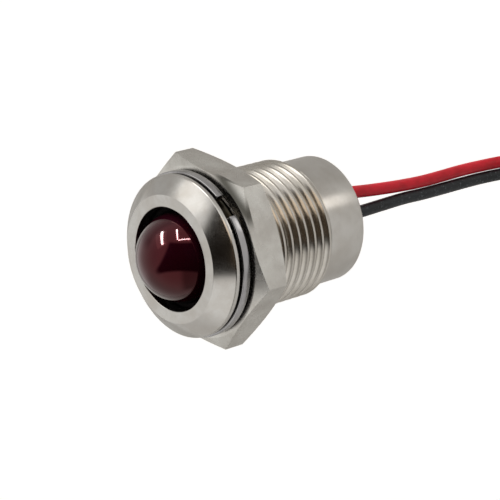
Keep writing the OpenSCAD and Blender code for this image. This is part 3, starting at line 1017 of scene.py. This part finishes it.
@dataclass(frozen=True)
class Lead:
    """One flying lead: out of the resin, away from the barrel, then folded in a hank."""

    side: LeadSide
    finish: ExtrudedVinyl
    slot: str
    route: tuple[tuple[float, float, float], ...]
    diameter: float = 1.3
    length: float = 150.0
    fold_r: float = 2.6
    fold_top: float = -55.25
    fold_bottom: float = -81.25
    end: float = -84.5
    inner_y: float = 0.66
    outer_y: float = 1.96
    tip_end: float = -90.5
    tip_overlap: float = 0.3
    strand_r: float = 0.083
    fold_steps: int = 12
    twist_steps: int = 36

    @property
    def word(self) -> str:
        """Give the lead's colour word, which starts its nodes' names."""
        return self.side.name.lower()

    def fold(self, height: float, start: float, y: float) -> list[Vector]:
        """Give the points of one half turn of the hank.

        Args:
            height: Height of the fold's centre.
            start: Angle at which the fold begins, in degrees from +X.
            y: Where the layer lies.

        Returns:
            The points, a half turn clockwise seen from -Y.
        """
        angles = [math.radians(start - 180 * step / self.fold_steps)
                  for step in range(self.fold_steps + 1)]
        return [Vector((self.fold_r * math.cos(a), y, height + self.fold_r * math.sin(a)))
                for a in angles]

    def path(self) -> list[Vector]:
        """Give the points of the lead's centreline, in millimetres.

        Returns:
            The points from inside the resin to the end of the covering.
        """
        sign = self.side.value
        near, far = sign * self.inner_y, sign * self.outer_y
        points = [Vector(point) for point in self.route]
        points += [Vector((self.fold_r, near, z)) for z in (-58.0, -66.0, -74.0)]
        points += self.fold(self.fold_bottom, 0, near)
        for share in (0.25, 0.5, 0.75):
            z = self.fold_bottom + (self.fold_top - self.fold_bottom) * share
            ease = share * share * (3 - 2 * share)
            points.append(Vector((-self.fold_r, near + (far - near) * ease, z)))
        points += self.fold(self.fold_top, 180, far)
        points += [Vector((self.fold_r, far, z)) for z in (-62.0, -70.0, -78.0, self.end)]
        return points

    def build(self) -> bpy.types.Object:
        """Returns:
            The curve.
        """
        data = bpy.data.curves.new(f"{self.word}_covering", "CURVE")
        data.dimensions = "3D"
        data.bevel_depth = self.diameter / 2 * MM
        data.bevel_resolution = 8
        data.resolution_u = 6
        data.use_fill_caps = True
        points = self.path()
        spline = data.splines.new("BEZIER")
        spline.bezier_points.add(len(points) - 1)
        for knot, point in zip(spline.bezier_points, points):
            knot.co = point * MM
            knot.handle_left_type = knot.handle_right_type = "AUTO"
        lead = bpy.data.objects.new(f"{self.word}_covering", data)
        bpy.context.scene.collection.objects.link(lead)
        word = self.word
        settle(lead, self.finish, "housing", (f"{word}_lead", f"{word}_lead_hank"))
        tip = self.bare_end()
        return lead

    def bare_end(self) -> bpy.types.Object:
        """Lay seven tinned strands as one twisted bare end.

        Returns:
            The bare end.
        """
        start = self.end + self.tip_overlap
        centre = Vector((self.fold_r, self.side.value * self.outer_y, start))
        down = (start - self.tip_end) / self.twist_steps
        bm = bmesh.new()
        for strand in range(7):
            turn_by = Matrix.Rotation(math.tau * strand / 6, 4, "Z")
            out = Vector((0, 0, 0)) if strand == 6 else turn_by @ Vector((2 * self.strand_r, 0, 0))
            ring = bmesh.ops.create_circle(bm, cap_ends=True, radius=self.strand_r, segments=10,
                                           matrix=Matrix.Translation(centre + out))["verts"]
            faces = list({face for vert in ring for face in vert.link_faces})
            edges = list({edge for vert in ring for edge in vert.link_edges})
            bmesh.ops.spin(bm, geom=ring + edges + faces, cent=centre, axis=(0, 0, 1),
                           dvec=(0, 0, -down), angle=math.tau * 1.1, steps=self.twist_steps)
        tidy(bm)
        tip = to_object(bm, f"{self.word}_bare_end", 50)
        settle(tip, TINNED_STRANDS, "housing", (f"{self.word}_lead_tip",))
        return tip


@dataclass(frozen=True)
class HankTie:
    """The nylon tie round both hanks, with its locking head and toothed tail."""

    middle: float = -68.25
    width: float = 2.5
    thickness: float = 0.5
    inner_x: float = 3.3
    inner_y: float = 2.66
    head: float = 1.7
    head_w: float = 2.6
    tail: float = 3.0
    rim: float = 0.2
    corner: float = 0.8
    strap_edge: float = 0.06
    head_edge: float = 0.18
    slot_wall: float = 0.45
    slot_depth: float = 0.5
    tooth: float = 0.35
    tooth_rim: float = 0.07
    tooth_depth: float = 0.12

    def build(self) -> bpy.types.Object:
        """Wrap the strap, then set the head and the tail on it.

        Returns:
            The tie.
        """
        half_x, half_y = self.inner_x + self.thickness, self.inner_y + self.thickness
        low, high = self.middle - self.width / 2, self.middle + self.width / 2
        bm = bmesh.new()
        spot = (Matrix.Translation((0, 0, self.middle))
                @ Matrix.Diagonal((2 * half_x, 2 * half_y, self.width, 1)))
        bmesh.ops.create_cube(bm, size=1.0, matrix=spot)
        ends = [face for face in bm.faces if abs(face.normal.z) > 0.9]
        bmesh.ops.delete(bm, geom=ends, context="FACES_ONLY")
        soften(bm, lambda e: abs(e.verts[0].co.z - e.verts[1].co.z) > 1, self.corner, 8)
        bmesh.ops.recalc_face_normals(bm, faces=bm.faces[:])
        bmesh.ops.solidify(bm, geom=bm.faces[:], thickness=self.thickness)
        tidy(bm)
        soften(bm, sharper(60), self.strap_edge, 2)
        rounded_box(bm, (self.inner_x, -self.head_w / 2, low - self.rim),
                    (self.inner_x + self.head, self.head_w / 2, high + self.rim),
                    self.head_edge)
        window = max((f for f in bm.faces if f.normal.x > 0.98
                      and f.calc_center_median().x > half_x + 0.5), key=lambda f: f.calc_area())
        bmesh.ops.inset_region(bm, faces=[window], thickness=self.slot_wall, depth=0.0)
        bmesh.ops.inset_region(bm, faces=[window], thickness=0.05, depth=-self.slot_depth)
        self.teeth(bm, low, high)
        tie = to_object(bm, "hank_tie", 35)
        settle(tie, TIE_NYLON, "housing", ("lead_tie",))
        return tie

    def teeth(self, bm: bmesh.types.BMesh, low: float, high: float) -> None:
        """Add the tail with its row of small teeth on the inner side.

        Args:
            bm: The tie's mesh.
            low: The strap's lower edge.
            high: The strap's upper edge.
        """
        x = self.inner_x + self.head / 2
        start = self.head_w / 2 - 0.1
        reach = self.head_w / 2 + self.tail
        spot = (Matrix.Translation((x + self.thickness / 2, (start + reach) / 2, self.middle))
                @ Matrix.Diagonal((self.thickness, reach - start,
                                   self.width - 2 * self.rim, 1)))
        made = bmesh.ops.create_cube(bm, size=1.0, matrix=spot)["verts"]
        geom = list({part for vert in made for part in (vert, *vert.link_edges, *vert.link_faces)})
        count = int(self.tail / self.tooth)
        for step in range(1, count):
            cut = bmesh.ops.bisect_plane(bm, geom=geom, dist=0.0001,
                                         plane_co=(0, self.head_w / 2 + step * self.tooth, 0),
                                         plane_no=(0, 1, 0))
            geom = cut["geom"]
        rungs = [part for part in geom if isinstance(part, bmesh.types.BMFace)
                 and part.normal.x < -0.9 and part.calc_center_median().y > self.head_w / 2]
        bmesh.ops.inset_individual(bm, faces=rungs, thickness=self.tooth_rim,
                                   depth=-self.tooth_depth)


# --------------------------------------------------------------------------
# The turned body, the potted rear and the lens
# --------------------------------------------------------------------------


@dataclass(frozen=True)
class TurnedBody:
    """The nickel-plated barrel: coned bezel, threaded shank and plain rear sleeve."""

    bezel_r: float = 8.0
    bezel_h: float = 1.85
    rim_h: float = 0.5
    face_r: float = 6.28
    mouth_r: float = 5.1
    bore_r: float = 5.6
    shoulder: float = -0.5
    neck_end: float = -2.1
    root_r: float = 6.387
    crest_r: float = 7.0
    relief: float = 0.75
    pitch: float = 1.0
    thread_end: float = -12.95
    rear_r: float = 6.4
    rear_start: float = -13.55
    rear_end: float = -18.35
    rear_chamfer: float = 0.4
    plated_root_r: float = 6.64
    ridge_sink: float = 0.09
    ridge_points: int = 8
    run_out: float = 0.5
    steps: int = 160
    thread_steps: int = 96

    def build(self) -> bpy.types.Object:
        """Turn the body and cut its thread.

        Returns:
            The body.
        """
        bm = bmesh.new()
        turn(bm, section(bm, (
            (self.mouth_r, self.bezel_h), (self.face_r, self.bezel_h),
            (self.bezel_r, self.rim_h), (self.bezel_r, 0.0), (self.root_r, 0.0),
            (self.root_r, self.rear_start + 0.02), (self.rear_r, self.rear_start),
            (self.rear_r, self.rear_end + self.rear_chamfer),
            (self.rear_r - self.rear_chamfer, self.rear_end), (self.bore_r, self.rear_end),
            (self.bore_r, self.shoulder), (self.mouth_r, self.shoulder),
        )), self.steps)
        for reach, height, width in (
            (self.mouth_r, self.bezel_h, 0.1), (self.face_r, self.bezel_h, 0.03),
            (self.bezel_r, self.rim_h, 0.16), (self.bezel_r, 0.0, 0.12),
            (self.rear_r, self.rear_end + self.rear_chamfer, 0.08),
            (self.bore_r, self.rear_end, 0.1), (self.mouth_r, self.shoulder, 0.05),
        ):
            soften(bm, on_ring(reach, height), width)
        self.thread(bm)
        bmesh.ops.recalc_face_normals(bm, faces=bm.faces[:])
        for face in bm.faces:
            height = face.calc_center_median().z
            face.material_index = sum(
                height < level for level in (-0.3, self.neck_end, self.rear_start + 0.02))
        body = to_object(bm, "turned_body", 12)
        settle(body, (BEZEL_NICKEL, SHADED_NECK_NICKEL, THREAD_NICKEL, SLEEVE_NICKEL), "housing",
               ("body",))
        return body

    def thread(self, bm: bmesh.types.BMesh) -> None:
        """Wind the right-hand thread ridge on the shank and run its ends out.

        Args:
            bm: The body's mesh.
        """
        foot = self.root_r - self.ridge_sink
        top = -self.relief
        turns = (top - self.rear_start) / self.pitch
        count = round(turns * self.thread_steps)
        depth = self.crest_r - self.plated_root_r
        outline = [(foot, self.pitch / 2)]
        for index in range(self.ridge_points, -self.ridge_points - 1, -1):
            share = index / self.ridge_points
            outline.append((self.plated_root_r + depth * math.cos(math.pi / 2 * share),
                            self.pitch / 2 * share))
        outline.append((foot, -self.pitch / 2))
        verts = [bm.verts.new((reach, 0.0, top + height)) for reach, height in outline]
        face = bm.faces.new(verts)
        before = set(bm.verts) - set(verts)
        bmesh.ops.spin(bm, geom=[*verts, *face.edges, face], cent=(0, 0, 0), axis=(0, 0, 1),
                       dvec=(0, 0, -self.pitch / self.thread_steps),
                       angle=-math.tau * count / self.thread_steps, steps=count)
        for vert in set(bm.verts) - before:
            limit = self.crest_r
            if vert.co.z > top - self.run_out:
                limit = foot + (top - vert.co.z) / self.run_out * (self.crest_r - foot)
            if vert.co.z < self.thread_end:
                limit = self.crest_r + (vert.co.z - self.thread_end)
            limit = max(limit, foot - 0.02)
            reach = math.hypot(vert.co.x, vert.co.y)
            if reach > limit:
                vert.co.x *= limit / reach
                vert.co.y *= limit / reach


@dataclass(frozen=True)
class PottedRear:
    """The black resin that closes the barrel, crept up its wall and the two leads."""

    radius: float = 5.6
    front: float = -14.8
    rear: float = -18.0
    lead_spots: tuple[float, ...] = (2.2, -0.6)
    lead_r: float = 0.6
    sag: float = 0.2

    def build(self) -> bpy.types.Object:
        """Pour the resin with its raised edges.

        Returns:
            The potting.
        """
        flat = self.rear + self.sag
        bm = bmesh.new()
        turn(bm, section(bm, (
            (0.0, self.front), (self.radius, self.front), (self.radius, self.rear),
            (self.radius - 0.05, self.rear + 0.02), (self.radius - 0.2, self.rear + 0.09),
            (self.radius - 0.45, self.rear + 0.15), (self.radius - 0.9, flat - 0.01),
            (0.0, flat),
        )), 128)
        for spot in self.lead_spots:
            collar = section(bm, (
                (self.lead_r, self.rear + 0.01), (self.lead_r + 0.12, self.rear + 0.03),
                (self.lead_r + 0.25, self.rear + 0.1), (self.lead_r + 0.5, flat + 0.01),
                (self.lead_r, flat + 0.3),
            ))
            verts = [part for part in collar if isinstance(part, bmesh.types.BMVert)]
            bmesh.ops.translate(bm, vec=(0, spot, 0), verts=verts)
            bmesh.ops.spin(bm, geom=collar, cent=(0, spot, 0), axis=(0, 0, 1), dvec=(0, 0, 0),
                           angle=math.tau, steps=48, use_merge=True)
        tidy(bm)
        resin = to_object(bm, "potting_resin", 40)
        settle(resin, POTTING_RESIN, "housing", ("potting",))
        return resin


@dataclass(frozen=True)
class JewelLens:
    """The hollow ruby dome with the flange that holds it behind the bezel's mouth."""

    dome_r: float = 4.4
    dome_z: float = 0.35
    wall: float = 0.8
    flange_r: float = 5.55
    flange_front: float = -0.5
    flange_rear: float = -1.5
    steps: int = 144

    def build(self) -> bpy.types.Object:
        """Turn the dome and its flange as one shell.

        Returns:
            The lens.
        """
        inner = self.dome_r - self.wall
        bm = bmesh.new()
        outer_arc = self.arc(bm, self.dome_r)
        inner_arc = self.arc(bm, inner)
        down = [bm.verts.new((reach, 0, height)) for reach, height in (
            (self.dome_r, self.flange_front), (self.flange_r, self.flange_front),
            (self.flange_r, self.flange_rear), (inner, self.flange_rear))]
        chain = [outer_arc[-1], *down, inner_arc[-1]]
        for one, two in zip(chain, chain[1:]):
            bm.edges.new((one, two))
        turn(bm, bm.verts[:] + bm.edges[:], self.steps)
        soften(bm, on_ring(self.flange_r, self.flange_front), 0.08)
        lens = to_object(bm, "ruby_dome", 30)
        settle(lens, LENS_RUBY, "housing", ("lens",))
        return lens

    def arc(self, bm: bmesh.types.BMesh, radius: float) -> list[bmesh.types.BMVert]:
        """Sweep one vertex from the pole down to the dome's widest ring.

        Args:
            bm: The lens's mesh.
            radius: The arc's radius.

        Returns:
            The arc's vertices, from the pole outwards.
        """
        before = set(bm.verts)
        pole = bm.verts.new((0, 0, self.dome_z + radius))
        bmesh.ops.spin(bm, geom=[pole], cent=(0, 0, self.dome_z), axis=(0, 1, 0),
                       dvec=(0, 0, 0), angle=math.pi / 2, steps=28)
        return sorted(set(bm.verts) - before, key=lambda vert: -vert.co.z)


# --------------------------------------------------------------------------
# Washer and nut
# --------------------------------------------------------------------------


@dataclass(frozen=True)
class SplitWasher:
    """The spring lock washer, cut through at one place."""

    inner_r: float = 7.25
    outer_r: float = 8.15
    front: float = -0.25
    rear: float = -1.15
    split_start: float = 27.5
    split_end: float = 43.5
    edge: float = 0.12

    def build(self) -> bpy.types.Object:
        """Bend the bar round and round its edges.

        Returns:
            The washer.
        """
        bm = bmesh.new()
        start = section(bm, ((self.inner_r, self.rear), (self.outer_r, self.rear),
                             (self.outer_r, self.front), (self.inner_r, self.front)))
        verts = [part for part in start if isinstance(part, bmesh.types.BMVert)]
        bmesh.ops.rotate(bm, cent=(0, 0, 0), verts=verts,
                         matrix=Matrix.Rotation(math.radians(self.split_end), 3, "Z"))
        first = bm.faces.new(verts)
        bmesh.ops.spin(bm, geom=[*start, first], cent=(0, 0, 0), axis=(0, 0, 1),
                       dvec=(0, 0, 0), steps=150,
                       angle=math.radians(360 - (self.split_end - self.split_start)))
        tidy(bm)
        soften(bm, sharper(60), self.edge, 4)
        washer = to_object(bm, "split_washer", 20)
        settle(washer, WASHER_STEEL, "washer", ("lock_washer",))
        return washer


@dataclass(frozen=True)
class HexNut:
    """The thin hexagon nut: a turned blank with six flats, chamfered at both faces."""

    front: float = -1.5
    rear: float = -4.9
    bore_r: float = 7.05
    sink: float = 0.5
    flat_r: float = 8.5
    corner_r: float = 9.815
    chamfer_r: float = 8.45
    chamfer_drop: float = 0.608
    first_flat: float = 8.25
    edge: float = 0.07
    steps: int = 240

    def build(self) -> bpy.types.Object:
        """Turn the blank, cut the flats and break the edges.

        Returns:
            The nut.
        """
        bm = bmesh.new()
        turn(bm, section(bm, (
            (self.bore_r, self.front - self.sink), (self.bore_r + self.sink, self.front),
            (self.chamfer_r, self.front), (self.corner_r, self.front - self.chamfer_drop),
            (self.corner_r, self.rear + self.chamfer_drop), (self.chamfer_r, self.rear),
            (self.bore_r + self.sink, self.rear), (self.bore_r, self.rear + self.sink),
        )), self.steps)
        for side in range(6):
            way = Matrix.Rotation(math.radians(self.first_flat + 60 * side), 3, "Z") @ Vector(
                (1, 0, 0))
            cut = bmesh.ops.bisect_plane(
                bm, geom=bm.verts[:] + bm.edges[:] + bm.faces[:], dist=0.0005,
                plane_co=way * self.flat_r, plane_no=way, clear_outer=True)
            rim = [part for part in cut["geom_cut"] if isinstance(part, bmesh.types.BMEdge)]
            bmesh.ops.edgenet_fill(bm, edges=rim)
        tidy(bm)
        soften(bm, lambda edge: sharper(14)(edge) and all(
            math.hypot(v.co.x, v.co.y) > self.bore_r + self.sink + 0.1 for v in edge.verts),
            self.edge, 2)
        nut = to_object(bm, "hex_clamp_nut", 12)
        settle(nut, NUT_NICKEL, "nut", ("hex_nut",))
        return nut


# --------------------------------------------------------------------------
# What lies inside
# --------------------------------------------------------------------------


@dataclass(frozen=True)
class InnerWorks:
    """The lamp, its holder and the board behind it, whose solids are kept as they are."""

    finishes: tuple[tuple[str, Finish], ...] = (
        ("lens_seal", SEAL_RUBBER),
        ("led_holder", HOLDER_NYLON),
        ("led", LAMP_EPOXY),
        ("led_anode_lead", TINNED_WIRE),
        ("led_cathode_lead", TINNED_WIRE),
        ("circuit_board", BOARD_LAMINATE),
        ("series_resistor", RESISTOR_LACQUER),
        ("resistor_leads", TINNED_WIRE),
        ("reverse_diode", DIODE_EPOXY),
        ("diode_leads", TINNED_WIRE),
        ("solder_joints", SOLDER),
        ("board_sleeve", GLASS_SLEEVE),
        ("red_lead_core", TINNED_STRANDS),
        ("black_lead_core", TINNED_STRANDS),
    )

    def dress(self) -> None:
        """Give each kept solid its finish."""
        for name, finish in self.finishes:
            dress(bpy.data.objects[name], finish)
            log.info("%s is dressed in %s", name, finish.title)


RED_ROUTE = (
    (0, 3.2, -10), (0, 3.2, -10.7), (0, 3.0, -11.8), (0, 2.7, -12.8), (0, 2.35, -13.7),
    (0, 2.2, -14.5), (0, 2.2, -15.2), (0, 2.2, -18), (0, 2.09, -19.5), (0, 1.86, -21.5),
    (0, 1.51, -24.3), (0, 1.2, -27.4), (0, 0.95, -30.5), (0, 0.8, -33.4), (0, 0.78, -36.6),
    (0, 0.8, -39.8), (0.1, 0.74, -42.6), (0.6, 0.7, -45), (1.4, 0.67, -47),
    (2.15, 0.66, -49), (2.6, 0.66, -50.8), (2.6, 0.66, -52),
)
BLACK_ROUTE = (
    (0, -3, -10), (0, -3, -10.6), (0, -2.65, -11.7), (0, -1.85, -12.7), (0, -1.0, -13.6),
    (0, -0.6, -14.5), (0, -0.6, -15.2), (0, -0.6, -18), (0, -0.58, -19.5), (0, -0.58, -21.5),
    (0, -0.54, -24.3), (0, -0.48, -27.4), (0, -0.44, -30.5), (0, -0.53, -33.4),
    (0, -0.56, -36.6), (0, -0.57, -39.8), (0.1, -0.6, -42.6), (0.6, -0.64, -45),
    (1.4, -0.66, -47), (2.15, -0.66, -49), (2.6, -0.66, -50.8), (2.6, -0.66, -52),
)


def main() -> None:
    """Build the camera, the room and every piece of the pilot light in order."""
    logging.basicConfig(level=logging.INFO, format="%(name)s: %(message)s")
    bpy.context.scene.view_settings.view_transform = "Standard"
    view = Viewpoint()
    view.build()
    Lead(LeadSide.RED, RED_VINYL, "red_pvc", RED_ROUTE).build()
    Lead(LeadSide.BLACK, BLACK_VINYL, "black_pvc", BLACK_ROUTE).build()
    HankTie().build()
    lens = JewelLens().build()
    Studio().build(view, lens, TurnedBody().build())
    PottedRear().build()
    SplitWasher().build()
    HexNut().build()
    InnerWorks().dress()


if __name__ == "__main__":
    main()
